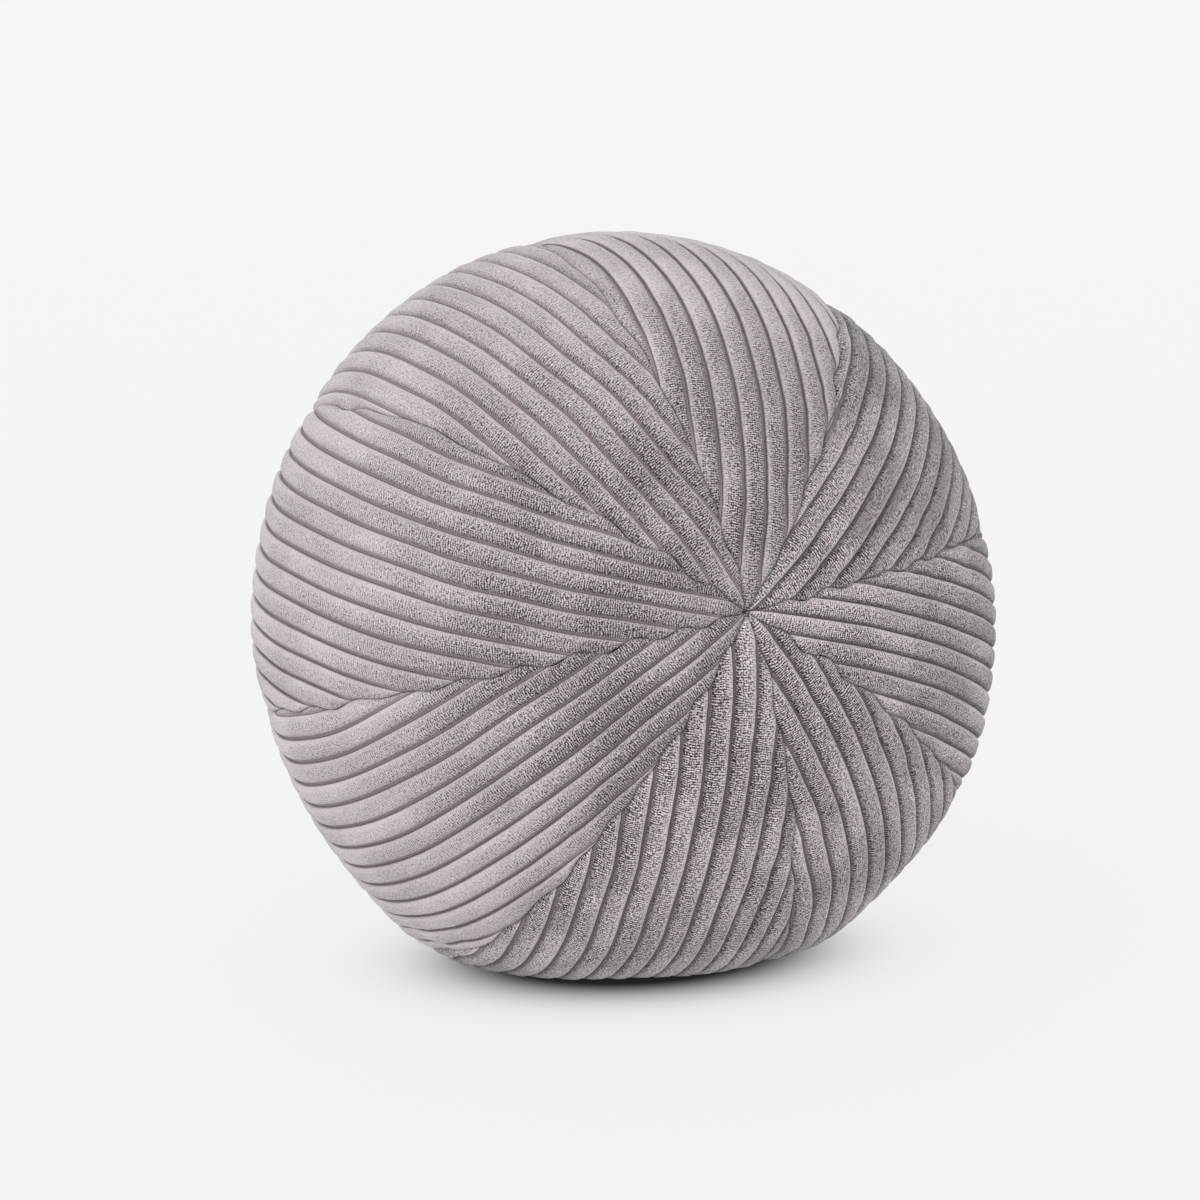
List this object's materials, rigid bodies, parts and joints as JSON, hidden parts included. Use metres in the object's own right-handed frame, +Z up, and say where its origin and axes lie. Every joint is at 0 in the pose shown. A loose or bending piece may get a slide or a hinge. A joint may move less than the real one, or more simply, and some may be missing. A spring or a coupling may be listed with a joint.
{
  "type": "ball pillow",
  "caption": "Round floor or sofa pillow of wide wale corduroy, sewn from pointed gores that meet at two pulled-in poles, with a small flat spot to rest on.",
  "frame": {"origin": "middle of the flat spot that the pillow rests on", "axes": "+Z up; the front pole, where the points of the gores meet, faces -Y and tips up by 11.5 degrees; +X is the right seen from the front"},
  "size_m": [0.3, 0.2715, 0.2885],
  "materials": {
    "corduroy": "warm grey wide wale corduroy, matt pile"
  },
  "bodies": {
    "root": {"gore_right": "corduroy", "gore_upper_right": "corduroy", "gore_top": "corduroy", "gore_upper_left": "corduroy", "gore_left": "corduroy", "gore_lower_left": "corduroy", "gore_bottom": "corduroy", "gore_lower_right": "corduroy"}
  },
  "joints": []
}
